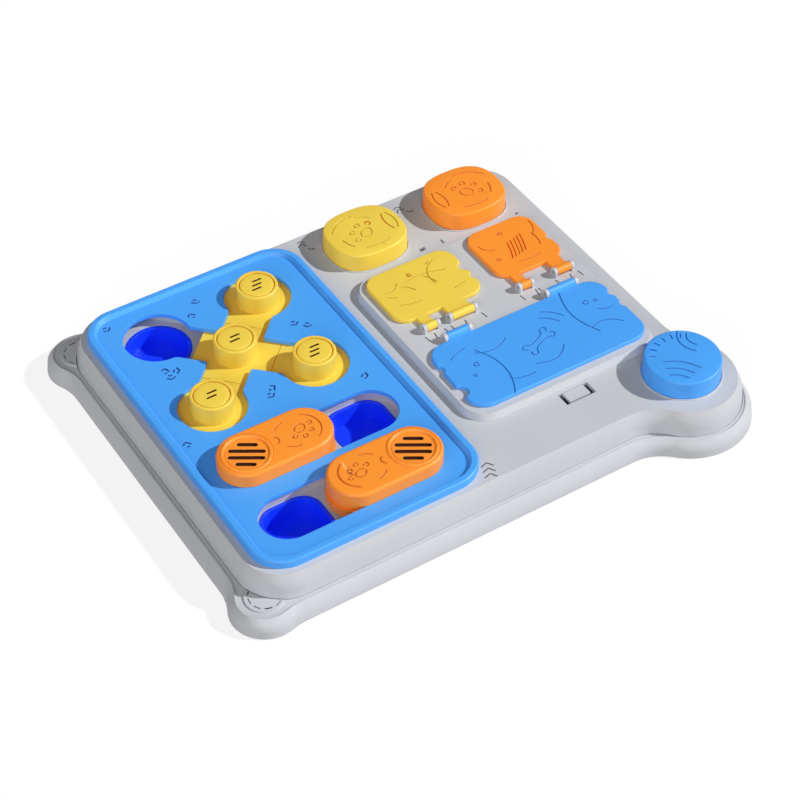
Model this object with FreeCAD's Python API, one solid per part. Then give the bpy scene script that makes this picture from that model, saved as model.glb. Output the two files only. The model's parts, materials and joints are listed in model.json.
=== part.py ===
import FreeCAD, Part
import math
import os

from FreeCAD import Vector

# Dog puzzle feeder board, millimetres, +Z up.
# Places below are measured from the middle of the rectangular base. The finished
# solids are moved so that the origin is on the ground under the middle of the whole outline.

# Driving dimensions: heights
FOOT_STAND = 0.8          # how far the rubber feet hold the base off the ground
FLOOR_THICK = 2.5
BASE_WALL_HEIGHT = 7.5
BASE_CREST_HEIGHT = 12.5
GUTTER_HEIGHT = 12.0
SHELF_THICK = 2.5
DECK_WAIST_HEIGHT = 22.0
DECK_HEIGHT = 29.0
DECK_PLATE = 3.0
WALL = 2.5
COVER_THICK = 3.0
COVER_RIM_HEIGHT = 2.6
PANEL_RISE = 5.0
PANEL_PLATE = 2.5
CHANNEL_DEPTH = 7.0
CHANNEL_FLOOR = 2.0
WELL_DEPTH = 13.5
WELL_WALL = 1.4
RIM_WIDTH = 0.9           # how far a well's rim rests on the frame's floor
KNOB_RISE = 10.5          # knob and slider tops above the cover
LID_THICK = 2.8
LID_SEAT_GAP = 0.2

# Driving dimensions: base and deck outline
BASE_LENGTH = 357.2
BASE_DEPTH = 285.3
LOBE_BLEND = 34.0
BASE_DRAFT = 1.0
CREST_INSET = 4.8
CREST_FLAT = 0.9          # level top of the outer wall
DECK_FOOT_INSET = 8.6
DECK_WAIST_INSET = 9.7
DECK_TOP_INSET = 13.0
DECK_CORNER = 26.0        # corner radius of the deck's top edge
SMALL_LOBE_RADIUS = 22.6
SMALL_LOBE_IN = (16.4, 20.25)   # lobe centres, in from the straight edges
REAR_LOBE_RADIUS = 31.0
REAR_LOBE_IN = (29.0, 27.25)
CUP_LOBE_RADIUS = 43.5
CUP_LOBE_IN = (29.5, 20.05)
DECK_LOBE_RADIUS = 34.2   # at the deck's top edge
DECK_LOBE_BACK = (0.5, 3.5)     # its centre, back from the base lobe's
PAD_RADIUS = 12.6
PAD_RISE = 0.9
FOOT_RADIUS = 9.0
FOOT_THICK = 2.0
FOOT_SHIFT = 4.5          # left feet, outwards from the lobe's centre to clear the screws

# Driving dimensions: sliding puzzle
COVER_LEFT = 4.6          # margins of the cover inside the deck's top edge
COVER_REAR = 2.85
COVER_FRONT = 4.05
COVER_LENGTH = 158.0
COVER_EDGE = 1.6
COVER_CORNER = 23.0
COVER_RIM_WIDTH = 6.5
COVER_RIM_SLOPE = 2.0
FRAME_INSET = 3.0         # channel frame, inside the cover's edge
FLANGE_WIDTH = 2.0
FLANGE_THICK = 1.5
CROSS_IN = (77.6, 75.05)  # cross centre from the cover's left and rear edges
PITCH = 52.7              # from block to block along an arm
ARM_CLEARANCE = 0.4       # knob foot to the side of an arm
ARM_CORNER = 1.4
NECK_BLEND = 5.0          # where an arm meets a lobe
CROSS_LOBE_RADIUS = 22.5
BLOCK_CORNER = 12.0
KNOB_TOP_RADIUS = 14.0
KNOB_FOOT_RADIUS = 14.3
KNOB_EDGE = 0.9
DISC_RADIUS = 11.9
DISC_THICK = 2.4
DISC_SINK = 0.3           # discs sit this much under the rim round them
PRESS = 0.1               # pressed discs in their seats, each side
SLIT_PITCH = 3.7
SLIT_HALF = 4.6
SLIT_RADIUS = 0.55
SLIT_DEPTH = 1.0
SLIT_SHIFT = 0.55         # sideways step from slit to slit, in pitches
CROSS_WELL_RADIUS = 19.6
SLOT_IN = (15.5, 17.9)    # slot ends inside the cover's left and right edges
SLOT_FRONT = 34.6         # front slot's middle line from the cover's front edge
SLOT_APART = 49.5
SLOT_RADIUS = 18.2
SLIDER_LENGTH = 75.6
SLIDER_EDGE = 2.2
SLIDER_LIFT = 0.2         # slider cap above the cover
SLIDER_OVERHANG = 1.0
KEEPER_OVERLAP = 1.55
GRILLE_RADIUS = 16.6
GRILLE_HALVES = (6.3, 11.2, 11.2, 6.3)
GRILLE_PITCH = 5.7
GRILLE_SLOT_RADIUS = 1.1
GRILLE_SLOT_DEPTH = 1.6
GRILLE_TURN = -32.0
SLOT_WELL_LENGTH = 37.0
SLOT_WELL_DEPTH = 34.4
SLOT_WELL_CORNER = 11.0
SLOT_WELL_OFFSET = 38.1

# Driving dimensions: lidded panel
PANEL_LEFT = 13.8         # from the cover's right edge
PANEL_RIGHT = 12.3        # from the deck's top edge
PANEL_FRONT = 43.05
PANEL_REAR = 65.75
PANEL_CORNER = 16.0
PANEL_FLARE = 2.0
PANEL_WALL = 1.2
# Lids: left or right, front or rear margin inside the panel, then length or depth
YELLOW_LID = {"left": 5.3, "length": 67.3, "rear": 3.5, "depth": 50.0, "corner": 11.0}
ORANGE_LID = {"right": 4.2, "length": 52.0, "rear": 2.5, "depth": 50.0, "corner": 11.0}
BLUE_LID = {"left": 4.6, "right": 2.5, "front": 5.0, "depth": 63.0, "corner": 13.0}
LID_EDGE = 0.8
ARM_OVERLAP = 1.5         # a hinge arm's root inside the lid
KNUCKLE_UNDER = 0.1       # knuckle radius under the ears'
# Hinge axis beyond the lid's edge, and its knuckles from the lid's left edge
HINGE_OUT = {"yellow": 11.0, "orange": 12.0, "blue": 3.2}
KNUCKLES_FROM_LEFT = {
    "yellow": ((12.5, 20.1), (32.5, 49.1)),
    "orange": ((6.3, 13.3), (34.9, 45.7)),
    "blue": ((19.6, 35.8), (99.4, 120.0)),
}
# Finger notches: lid end, place from the lid's front edge, centre beyond the end, radius
NOTCHES = {
    "yellow": (("right", 27.0, 1.0, 5.0), ("right", 15.5, 2.0, 4.2)),
    "orange": (("right", 20.0, 2.0, 4.2),),
    "blue": (("left", 43.0, 2.0, 4.2), ("left", 19.5, 0.5, 5.2),
             ("right", 45.0, 2.0, 4.2), ("right", 32.0, 2.4, 4.2)),
}
HINGE_RADIUS = 3.1
HINGE_RISE = 3.0          # hinge axis above the panel
PIN_RADIUS = 1.2
EAR_THICK = 2.2
EAR_CLEARANCE = 0.5       # knuckle to the panel round it
BOX_INSET = 6.0           # food box, inside its lid's edge
BOX_DEPTH = 17.0
BOX_FLANGE = 3.0
BOX_CORNER_EASE = 2.0     # rounder than the lid's corner moved in
FLANGE_RISE = 1.5         # box and cap well flanges stand on the deck
CATCH_FROM_PANEL = (70.1, 9.4)   # right of the panel's left edge, before its front edge
CATCH_WINDOW = (22.5, 10.5)
CATCH_HOOK_IN = 3.4
CATCH_WALL = 1.6
CATCH_HOOK = (2.0, 0.2)   # hook's under and top side below the deck
CATCH_DROP = 4.0
VENT_HALF = (2.3, 1.7)
VENT_FROM_PANEL = (63.0, 9.9)    # right of the panel's left edge, behind its rear edge
SLOT_VENT_HALF = (0.8, 2.35)
SLOT_VENT_FROM_PANEL = (79.0, 9.6)
PEG_HOLE_RADIUS = 1.3
PEG_HOLE_FROM_PANEL = (3.8, 7.0)  # left of the panel's right edge, behind its rear edge

# Driving dimensions: lift-off caps
YELLOW_CAP_IN = (32.4, 31.35)     # from the panel's left edge and the deck's rear edge
ORANGE_CAP_IN = (29.6, 31.6)      # from the panel's right edge and the deck's rear edge
SQUARE_CAP_HALF = (28.0, 24.8)
SQUIRCLE_POWER = 2.6
ROUND_CAP_OFF = (0.1, 3.5)        # from the deck lobe's centre
ROUND_CAP_RADIUS = 25.6
CAP_HEIGHT = 13.2
CAP_TAPER = 0.5
CAP_EDGE = 1.2
CAP_LIFT = 0.05                   # resting gap over the deck
CAP_WALL = 2.0
CAP_WELL_DEPTH = 15.0
CAP_WELL_FLANGE = 2.6
LIP_WIDTH = 0.9
LIP_HEIGHT = 0.7

# Fastening
POST_RADIUS = 3.6
POST_IN = (10.0, 9.6)     # left and middle posts, in from the deck's top edge
RIGHT_POST_IN = 8.0
RIGHT_POST_Y = (1.9, 54.6)  # before the panel's rear edge, behind its front edge
SCREW_RADIUS = 1.45
SCREW_HEAD_RADIUS = 2.8
SCREW_HEAD = 1.6
SCREW_LENGTH = 13.0
SCREW_SINK = 0.1

# Named clearances
RUNNING = 0.35            # sliding pieces in their channels, each side
SEAT = 0.3                # drop-in pieces in their openings, each side
PIN_CLEARANCE = 0.05
STOP = 0.4                # slider to slot end at rest
BLOCK_GAP = 0.2           # half the gap between neighbouring blocks

# Levels worked out from the heights
Z_BASE = FOOT_STAND
Z_FLOOR = Z_BASE + FLOOR_THICK
Z_GUTTER = Z_BASE + GUTTER_HEIGHT
Z_WAIST = Z_BASE + DECK_WAIST_HEIGHT
Z_DECK = Z_BASE + DECK_HEIGHT
Z_PLATE_UNDER = Z_DECK - DECK_PLATE
Z_CHANNEL = Z_DECK - CHANNEL_DEPTH
Z_FRAME_UNDER = Z_CHANNEL - CHANNEL_FLOOR
Z_COVER = Z_DECK + COVER_THICK
Z_KNOB = Z_COVER + KNOB_RISE
Z_PANEL = Z_DECK + PANEL_RISE
Z_HINGE = Z_PANEL + HINGE_RISE
BLOCK_SIDE = PITCH - 2 * BLOCK_GAP
DIAGONAL = math.sqrt(0.5)

# Places worked out from the outline
BASE_HALF = (BASE_LENGTH / 2, BASE_DEPTH / 2)
SMALL_LOBE_AT = (SMALL_LOBE_IN[0] - BASE_HALF[0], BASE_HALF[1] - SMALL_LOBE_IN[1])
REAR_LOBE_AT = (BASE_HALF[0] - REAR_LOBE_IN[0], BASE_HALF[1] - REAR_LOBE_IN[1])
CUP_LOBE_AT = (BASE_HALF[0] - CUP_LOBE_IN[0], CUP_LOBE_IN[1] - BASE_HALF[1])
DECK_LOBE_AT = (CUP_LOBE_AT[0] - DECK_LOBE_BACK[0], CUP_LOBE_AT[1] + DECK_LOBE_BACK[1])
DECK_HALF = (BASE_HALF[0] - DECK_TOP_INSET, BASE_HALF[1] - DECK_TOP_INSET)
COVER_X = (COVER_LEFT - DECK_HALF[0], COVER_LEFT - DECK_HALF[0] + COVER_LENGTH)
COVER_Y = (COVER_FRONT - DECK_HALF[1], DECK_HALF[1] - COVER_REAR)
CROSS_AT = (COVER_X[0] + CROSS_IN[0], COVER_Y[1] - CROSS_IN[1])
ARM_WIDTH = 2 * (KNOB_FOOT_RADIUS + ARM_CLEARANCE)
SLOT_X = (COVER_X[0] + SLOT_IN[0], COVER_X[1] - SLOT_IN[1])
SLOT_Y = {"rear": COVER_Y[0] + SLOT_FRONT + SLOT_APART, "front": COVER_Y[0] + SLOT_FRONT}
PANEL_X = (COVER_X[1] + PANEL_LEFT, DECK_HALF[0] - PANEL_RIGHT)
PANEL_Y = (PANEL_FRONT - DECK_HALF[1], DECK_HALF[1] - PANEL_REAR)


def lid_place(data):
    """Span of a lid in x and y from its margins inside the panel."""
    if "left" in data:
        x0 = PANEL_X[0] + data["left"]
    else:
        x0 = PANEL_X[1] - data["right"] - data["length"]
    x1 = x0 + data["length"] if "length" in data else PANEL_X[1] - data["right"]
    y0 = PANEL_Y[0] + data["front"] if "front" in data else PANEL_Y[1] - data["rear"] - data["depth"]
    return {"x": (x0, x1), "y": (y0, y0 + data["depth"]), "corner": data["corner"]}


LIDS = {"yellow": lid_place(YELLOW_LID), "orange": lid_place(ORANGE_LID), "blue": lid_place(BLUE_LID)}
HINGE_Y = {
    "yellow": LIDS["yellow"]["y"][0] - HINGE_OUT["yellow"],
    "orange": LIDS["orange"]["y"][0] - HINGE_OUT["orange"],
    "blue": LIDS["blue"]["y"][1] + HINGE_OUT["blue"],
}
KNUCKLES = {name: tuple((LIDS[name]["x"][0] + a, LIDS[name]["x"][0] + b) for a, b in spans)
            for name, spans in KNUCKLES_FROM_LEFT.items()}
SQUARE_CAPS = {
    "yellow": (PANEL_X[0] + YELLOW_CAP_IN[0], DECK_HALF[1] - YELLOW_CAP_IN[1]),
    "orange": (PANEL_X[1] - ORANGE_CAP_IN[0], DECK_HALF[1] - ORANGE_CAP_IN[1]),
}
ROUND_CAP_AT = (DECK_LOBE_AT[0] + ROUND_CAP_OFF[0], DECK_LOBE_AT[1] + ROUND_CAP_OFF[1])
CATCH_AT = (PANEL_X[0] + CATCH_FROM_PANEL[0], PANEL_Y[0] - CATCH_FROM_PANEL[1])

# Middle of the whole outline, from its four outermost lobes
MIDDLE_X = (CUP_LOBE_AT[0] + CUP_LOBE_RADIUS + SMALL_LOBE_AT[0] - SMALL_LOBE_RADIUS) / 2
MIDDLE_Y = (REAR_LOBE_AT[1] + REAR_LOBE_RADIUS + CUP_LOBE_AT[1] - CUP_LOBE_RADIUS) / 2


def save(shape, name):
    solid = shape.removeSplitter()
    solid.translate(Vector(-MIDDLE_X, -MIDDLE_Y, 0))
    solid.exportStep("parts/%s.step" % name)
    box = solid.BoundBox
    print(name, len(solid.Solids), "solids", round(solid.Volume, 1), "mm3",
          "z %.1f to %.1f" % (box.ZMin, box.ZMax), "valid" if solid.isValid() else "NOT VALID")
    return solid


def arc(centre, radius, start, end, z):
    """Arc from angle start to angle end, in degrees; a smaller end runs clockwise."""
    def point(angle):
        a = math.radians(angle)
        return Vector(centre[0] + radius * math.cos(a), centre[1] + radius * math.sin(a), z)
    return Part.Arc(point(start), point((start + end) / 2), point(end)).toShape()


def joined(edges):
    """Close a run of arcs into one wire, with straight lines between them."""
    pieces = []
    for i, edge in enumerate(edges):
        pieces.append(edge)
        tail = edge.valueAt(edge.LastParameter)
        following = edges[(i + 1) % len(edges)]
        head = following.valueAt(following.FirstParameter)
        if tail.distanceToPoint(head) > 1e-6:
            pieces.append(Part.LineSegment(tail, head).toShape())
    return Part.Wire(pieces)


def rounded_rect(x, y, radius, z):
    """Anticlockwise rectangle from x[0], y[0] to x[1], y[1] with round corners."""
    r = radius
    return joined([
        arc((x[1] - r, y[0] + r), r, -90, 0, z),
        arc((x[1] - r, y[1] - r), r, 0, 90, z),
        arc((x[0] + r, y[1] - r), r, 90, 180, z),
        arc((x[0] + r, y[0] + r), r, 180, 270, z),
    ])


def stadium(x, y, radius, z):
    """Slot shape whose ends reach x[0] and x[1], centred on the line y."""
    return joined([
        arc((x[1] - radius, y), radius, -90, 90, z),
        arc((x[0] + radius, y), radius, 90, 270, z),
    ])


def circle(centre, radius, z):
    return Part.Wire(Part.Circle(Vector(centre[0], centre[1], z), Vector(0, 0, 1), radius).toShape())


def squircle(centre, half, z, points=32):
    """Closed smooth curve |x/a|^n + |y/b|^n = 1."""
    power = 2.0 / SQUIRCLE_POWER
    places = []
    for i in range(points):
        a = 2 * math.pi * i / points
        c, s = math.cos(a), math.sin(a)
        places.append(Vector(centre[0] + half[0] * math.copysign(abs(c) ** power, c),
                             centre[1] + half[1] * math.copysign(abs(s) ** power, s), z))
    curve = Part.BSplineCurve()
    curve.interpolate(Points=places, PeriodicFlag=True)
    return Part.Wire(curve.toShape())


def prism(wire, height):
    return Part.Face(wire).extrude(Vector(0, 0, height))


def between(lower, upper):
    """Solid with straight sides from one closed wire up to another."""
    return Part.makeLoft([lower, upper], True, True)


def box(x, y, z):
    return Part.makeBox(x[1] - x[0], y[1] - y[0], z[1] - z[0], Vector(x[0], y[0], z[0]))


def cylinder(centre, radius, z0, z1):
    return Part.makeCylinder(radius, z1 - z0, Vector(centre[0], centre[1], z0))


def fuse(shapes):
    return shapes[0].multiFuse(shapes[1:]) if len(shapes) > 1 else shapes[0]


def turned(shape, centre, angle):
    return shape.rotated(Vector(centre[0], centre[1], 0), Vector(0, 0, 1), angle)


def blend_points(line_gap, radius, blend):
    """Distance along a straight edge from a lobe's centre to where its blend starts."""
    return math.sqrt((radius + blend) ** 2 - (line_gap + blend) ** 2)


def lobe_corner(at, radius, half, blend, z):
    """Arcs of one corner with a round lobe: blend in, lobe, blend out (anticlockwise)."""
    sx = 1 if at[0] > 0 else -1
    sy = 1 if at[1] > 0 else -1
    along_x = blend_points(half[1] - abs(at[1]), radius, blend)
    along_y = blend_points(half[0] - abs(at[0]), radius, blend)
    # centres of the two hollow blends, outside the straight edges
    on_y = (at[0] - sx * along_x, sy * (half[1] + blend))
    on_x = (sx * (half[0] + blend), at[1] - sy * along_y)

    def heading(a, b):
        return math.degrees(math.atan2(b[1] - a[1], b[0] - a[0]))
    a_y = heading(on_y, at)
    a_x = heading(on_x, at)
    lobe_y = heading(at, on_y)
    lobe_x = heading(at, on_x)
    edge_y = -90.0 * sy
    edge_x = 180.0 if sx > 0 else 0.0

    def near(angle, reference):
        while angle - reference > 180:
            angle -= 360
        while angle - reference < -180:
            angle += 360
        return angle
    first, last = (on_y, on_x) if sx * sy < 0 else (on_x, on_y)
    a_first, a_last = (a_y, a_x) if sx * sy < 0 else (a_x, a_y)
    e_first, e_last = (edge_y, edge_x) if sx * sy < 0 else (edge_x, edge_y)
    l_first, l_last = (lobe_y, lobe_x) if sx * sy < 0 else (lobe_x, lobe_y)
    while l_last <= l_first:
        l_last += 360
    return [
        arc(first, blend, e_first, near(a_first, e_first), z),
        arc(at, radius, l_first, l_last, z),
        arc(last, blend, near(a_last, e_last), e_last, z),
    ]


def base_outline(inset, z):
    """Rectangular base with a round lobe at each corner."""
    half = (BASE_HALF[0] - inset, BASE_HALF[1] - inset)
    blend = LOBE_BLEND + inset
    lobes = [
        (CUP_LOBE_AT, CUP_LOBE_RADIUS),
        (REAR_LOBE_AT, REAR_LOBE_RADIUS),
        (SMALL_LOBE_AT, SMALL_LOBE_RADIUS),
        ((SMALL_LOBE_AT[0], -SMALL_LOBE_AT[1]), SMALL_LOBE_RADIUS),
    ]
    arcs = []
    for at, radius in lobes:
        arcs += lobe_corner(at, radius - inset, half, blend, z)
    return joined(arcs)


def deck_outline(inset, z):
    """Deck wall: three round corners and a lobe under the round cap."""
    half = (BASE_HALF[0] - inset, BASE_HALF[1] - inset)
    grow = DECK_TOP_INSET - inset
    corner = DECK_CORNER + grow
    x, y = half[0] - corner, half[1] - corner
    arcs = lobe_corner(DECK_LOBE_AT, DECK_LOBE_RADIUS + grow, half, LOBE_BLEND - grow, z)
    arcs += [
        arc((x, y), corner, 0, 90, z),
        arc((-x, y), corner, 90, 180, z),
        arc((-x, -y), corner, 180, 270, z),
    ]
    return joined(arcs)


def post_places():
    """Screw posts: two in the left corners, two by the middle wall, two at the right."""
    left = POST_IN[0] - DECK_HALF[0]
    edge = DECK_HALF[1] - POST_IN[1]
    middle = (COVER_X[1] + PANEL_X[0]) / 2
    right = DECK_HALF[0] - RIGHT_POST_IN
    return [(left, edge), (left, -edge), (middle, edge), (middle, -edge),
            (right, PANEL_Y[1] - RIGHT_POST_Y[0]), (right, PANEL_Y[0] + RIGHT_POST_Y[1])]


def food_box(name):
    """Inner walls of the food box under a lid."""
    lid = LIDS[name]
    x = (lid["x"][0] + BOX_INSET, lid["x"][1] - BOX_INSET)
    y = (lid["y"][0] + BOX_INSET, lid["y"][1] - BOX_INSET)
    return x, y


def box_corner(name):
    """Corner radius of a food box's inner walls."""
    return LIDS[name]["corner"] - BOX_INSET + BOX_CORNER_EASE


def rect_grown(x, y, grow, radius, z):
    return rounded_rect((x[0] - grow, x[1] + grow), (y[0] - grow, y[1] + grow), radius + grow, z)


def frame_wire(inset, z):
    """Outline that follows the cover plate, moved in by inset."""
    return rect_grown(COVER_X, COVER_Y, -inset, COVER_CORNER, z)


def base_tray():
    """Floor, outer wall with a sloped crest, and the gutter shelf round the deck."""
    top = Z_BASE + BASE_CREST_HEIGHT
    knee = Z_BASE + BASE_WALL_HEIGHT
    body = between(base_outline(0, Z_BASE), base_outline(BASE_DRAFT, knee))
    body = body.fuse(between(base_outline(BASE_DRAFT, knee), base_outline(CREST_INSET, top)))
    body = body.cut(prism(base_outline(CREST_INSET, Z_FLOOR), Z_GUTTER - SHELF_THICK - Z_FLOOR))
    body = body.cut(prism(base_outline(CREST_INSET + CREST_FLAT, Z_GUTTER), BASE_CREST_HEIGHT))
    body = body.cut(prism(deck_outline(DECK_FOOT_INSET - SEAT, Z_FLOOR), top))
    keep_out = prism(deck_outline(DECK_FOOT_INSET - 2 * SEAT, Z_FLOOR), top)
    for side in (1, -1):
        at = (SMALL_LOBE_AT[0], side * SMALL_LOBE_AT[1])
        pad = cylinder(at, PAD_RADIUS, Z_GUTTER - PAD_RISE, Z_GUTTER + PAD_RISE)
        body = body.fuse(pad.cut(keep_out))
    for at in foot_places():
        body = body.cut(cylinder(at, FOOT_RADIUS + SEAT, Z_BASE, Z_BASE + FOOT_THICK - FOOT_STAND))
    for at in post_places():
        body = body.cut(cylinder(at, SCREW_RADIUS + SEAT, Z_BASE, Z_FLOOR))
        body = body.cut(cylinder(at, SCREW_HEAD_RADIUS + SEAT, Z_BASE, Z_BASE + SCREW_HEAD))
    return body


def foot_places():
    x, y = SMALL_LOBE_AT[0] - FOOT_SHIFT, SMALL_LOBE_AT[1] + FOOT_SHIFT
    return [(x, y), (x, -y), REAR_LOBE_AT, CUP_LOBE_AT]


def foot(at):
    return cylinder(at, FOOT_RADIUS, 0, FOOT_THICK)


def screws():
    pieces = []
    for at in post_places():
        head = cylinder(at, SCREW_HEAD_RADIUS, Z_BASE + SCREW_SINK, Z_BASE + SCREW_HEAD)
        shank = cylinder(at, SCREW_RADIUS, Z_BASE + SCREW_HEAD, Z_BASE + SCREW_HEAD + SCREW_LENGTH)
        pieces.append(head.fuse(shank).removeSplitter())
    return Part.makeCompound(pieces)


def deck_shell():
    """Upper shell: skirt, sloped shoulder and the top plate with its openings."""
    levels = [(Z_FLOOR, DECK_FOOT_INSET), (Z_GUTTER, DECK_FOOT_INSET),
              (Z_WAIST, DECK_WAIST_INSET), (Z_DECK, DECK_TOP_INSET)]
    outer = []
    inner = []
    for (z0, inset0), (z1, inset1) in zip(levels, levels[1:]):
        outer.append(between(deck_outline(inset0, z0), deck_outline(inset1, z1)))
        inner.append(between(deck_outline(inset0 + WALL, z0), deck_outline(inset1 + WALL, z1)))
    reach = (-BASE_LENGTH, BASE_LENGTH)
    hollow = fuse(inner).common(box(reach, reach, (0, Z_PLATE_UNDER)))
    body = fuse(outer).cut(hollow)
    posts = [cylinder(at, POST_RADIUS, Z_FLOOR, Z_PLATE_UNDER) for at in post_places()]
    body = body.fuse(posts)
    body = body.cut(prism(frame_wire(FRAME_INSET - SEAT, Z_PLATE_UNDER), DECK_PLATE))
    rebate = frame_wire(FRAME_INSET - FLANGE_WIDTH - SEAT, Z_DECK - FLANGE_THICK)
    body = body.cut(prism(rebate, FLANGE_THICK))
    for name in LIDS:
        x, y = food_box(name)
        wire = rect_grown(x, y, WELL_WALL + SEAT, box_corner(name), Z_PLATE_UNDER)
        body = body.cut(prism(wire, DECK_PLATE))
    for name, at in SQUARE_CAPS.items():
        hole = squircle(at, cap_half(cap_well_inset() - WELL_WALL - SEAT), Z_PLATE_UNDER)
        body = body.cut(prism(hole, DECK_PLATE))
        body = body.fuse(lip_ring(squircle, at))
    hole = circle(ROUND_CAP_AT, ROUND_CAP_RADIUS - cap_well_inset() + WELL_WALL + SEAT, Z_PLATE_UNDER)
    body = body.cut(prism(hole, DECK_PLATE))
    body = body.fuse(lip_ring(circle, ROUND_CAP_AT))
    for at in post_places():
        body = body.cut(cylinder(at, SCREW_RADIUS + PIN_CLEARANCE, Z_FLOOR, Z_FLOOR + SCREW_LENGTH))
    body = body.cut(plate_hole(CATCH_AT, (CATCH_WINDOW[0] / 2, CATCH_WINDOW[1] / 2)))
    return body.cut(vents())


def plate_hole(at, half):
    """Rectangular hole through the deck's plate."""
    return box((at[0] - half[0], at[0] + half[0]), (at[1] - half[1], at[1] + half[1]),
               (Z_PLATE_UNDER, Z_DECK))


def vents():
    """Two small drain slots and a peg hole in the deck behind the panel."""
    first = (PANEL_X[0] + VENT_FROM_PANEL[0], PANEL_Y[1] + VENT_FROM_PANEL[1])
    second = (PANEL_X[0] + SLOT_VENT_FROM_PANEL[0], PANEL_Y[1] + SLOT_VENT_FROM_PANEL[1])
    peg = (PANEL_X[1] - PEG_HOLE_FROM_PANEL[0], PANEL_Y[1] + PEG_HOLE_FROM_PANEL[1])
    return fuse([plate_hole(first, VENT_HALF), plate_hole(second, SLOT_VENT_HALF),
                 cylinder(peg, PEG_HOLE_RADIUS, Z_PLATE_UNDER, Z_DECK)])


def cap_half(inset):
    return (SQUARE_CAP_HALF[0] - inset, SQUARE_CAP_HALF[1] - inset)


def cap_well_inset():
    """Inset of a cap well's inner wall from the cap's outer foot line."""
    return CAP_WALL + SEAT + CAP_WELL_FLANGE + WELL_WALL


def lip_ring(shape, at):
    """Thin raised lip on the deck round a cap."""
    def wire(grow):
        if shape is circle:
            return circle(at, ROUND_CAP_RADIUS + grow, Z_DECK - LIP_HEIGHT)
        return squircle(at, cap_half(-grow), Z_DECK - LIP_HEIGHT)
    height = 2 * LIP_HEIGHT
    return prism(wire(SEAT + LIP_WIDTH), height).cut(prism(wire(SEAT), height))


def cross_cells():
    """The five stations of the cross, by name: offsets in pitches along its two arms."""
    return {"centre": (0, 0), "rear_right": (0, 1), "front_right": (1, 0),
            "front_left": (0, -1), "rear_left": (-1, 0)}


def station(name):
    a, b = cross_cells()[name]
    return (CROSS_AT[0] + (a + b) * PITCH * DIAGONAL, CROSS_AT[1] + (b - a) * PITCH * DIAGONAL)


def cell(at, grow, z):
    """Square of one station, turned 45 degrees to the board."""
    half = BLOCK_SIDE / 2 + grow
    wire = rounded_rect((at[0] - half, at[0] + half), (at[1] - half, at[1] + half),
                        BLOCK_CORNER + grow, z)
    return turned(wire, at, 45)


def cross_channel(z0, height):
    """Hidden channel of the cross: the swept width of the blocks along both arms."""
    bars = []
    half = BLOCK_SIDE / 2 + RUNNING
    reach = PITCH + half
    for angle in (45, -45):
        bar = rounded_rect((CROSS_AT[0] - reach, CROSS_AT[0] + reach),
                           (CROSS_AT[1] - half, CROSS_AT[1] + half), BLOCK_CORNER + RUNNING, z0)
        bars.append(turned(prism(bar, height), CROSS_AT, angle))
    return fuse(bars)


def slot_channel(y, z0, height):
    grow = KEEPER_OVERLAP + RUNNING
    return prism(stadium((SLOT_X[0] - grow, SLOT_X[1] + grow), y, SLOT_RADIUS + grow, z0), height)


def slot_middle():
    return (SLOT_X[0] + SLOT_X[1]) / 2


def slot_well_places():
    places = {}
    for row, y in SLOT_Y.items():
        for side, sign in (("left", -1), ("right", 1)):
            places["%s_%s" % (row, side)] = (slot_middle() + sign * SLOT_WELL_OFFSET, y)
    return places


def slot_well_wire(at, grow, z):
    half = (SLOT_WELL_LENGTH / 2, SLOT_WELL_DEPTH / 2)
    return rect_grown((at[0] - half[0], at[0] + half[0]), (at[1] - half[1], at[1] + half[1]),
                      grow, SLOT_WELL_CORNER, z)


def channel_frame():
    """Guide frame under the cover: cross channel, two slot channels, holes for the wells."""
    body = prism(frame_wire(FRAME_INSET, Z_FRAME_UNDER), Z_DECK - Z_FRAME_UNDER)
    flange = prism(frame_wire(FRAME_INSET - FLANGE_WIDTH, Z_DECK - FLANGE_THICK), FLANGE_THICK)
    body = body.fuse(flange)
    body = body.cut(cross_channel(Z_CHANNEL, CHANNEL_DEPTH))
    for y in SLOT_Y.values():
        body = body.cut(slot_channel(y, Z_CHANNEL, CHANNEL_DEPTH))
    rebate = CHANNEL_FLOOR / 2
    for name in cross_cells():
        radius = CROSS_WELL_RADIUS + WELL_WALL + SEAT
        body = body.cut(cylinder(station(name), radius, Z_FRAME_UNDER, Z_CHANNEL))
        body = body.cut(cylinder(station(name), radius + RIM_WIDTH, Z_CHANNEL - rebate, Z_CHANNEL))
    for at in slot_well_places().values():
        body = body.cut(prism(slot_well_wire(at, WELL_WALL + SEAT, Z_FRAME_UNDER), CHANNEL_FLOOR))
        body = body.cut(prism(slot_well_wire(at, WELL_WALL + SEAT + RIM_WIDTH, Z_CHANNEL - rebate), rebate))
    return body


def well(outline, depth, rim, rim_thick, z_top):
    """Open cup with a thin rim; outline(grow, z) gives its inner line moved out by grow."""
    cup = prism(outline(WELL_WALL, z_top - depth - WELL_WALL), depth + WELL_WALL)
    ring = prism(outline(WELL_WALL + rim, z_top - rim_thick), rim_thick)
    cup = cup.fuse(ring)
    return cup.cut(prism(outline(0, z_top - depth), depth))


def cross_well(at):
    def outline(grow, z):
        return circle(at, CROSS_WELL_RADIUS + grow, z)
    return well(outline, WELL_DEPTH, RIM_WIDTH, CHANNEL_FLOOR / 2, Z_CHANNEL)


def slot_well(at):
    def outline(grow, z):
        return slot_well_wire(at, grow, z)
    return well(outline, WELL_DEPTH, RIM_WIDTH, CHANNEL_FLOOR / 2, Z_CHANNEL)


def lid_box(name):
    x, y = food_box(name)

    def outline(grow, z):
        return rect_grown(x, y, grow, box_corner(name), z)
    return well(outline, BOX_DEPTH, BOX_FLANGE, FLANGE_RISE, Z_DECK + FLANGE_RISE)


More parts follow.
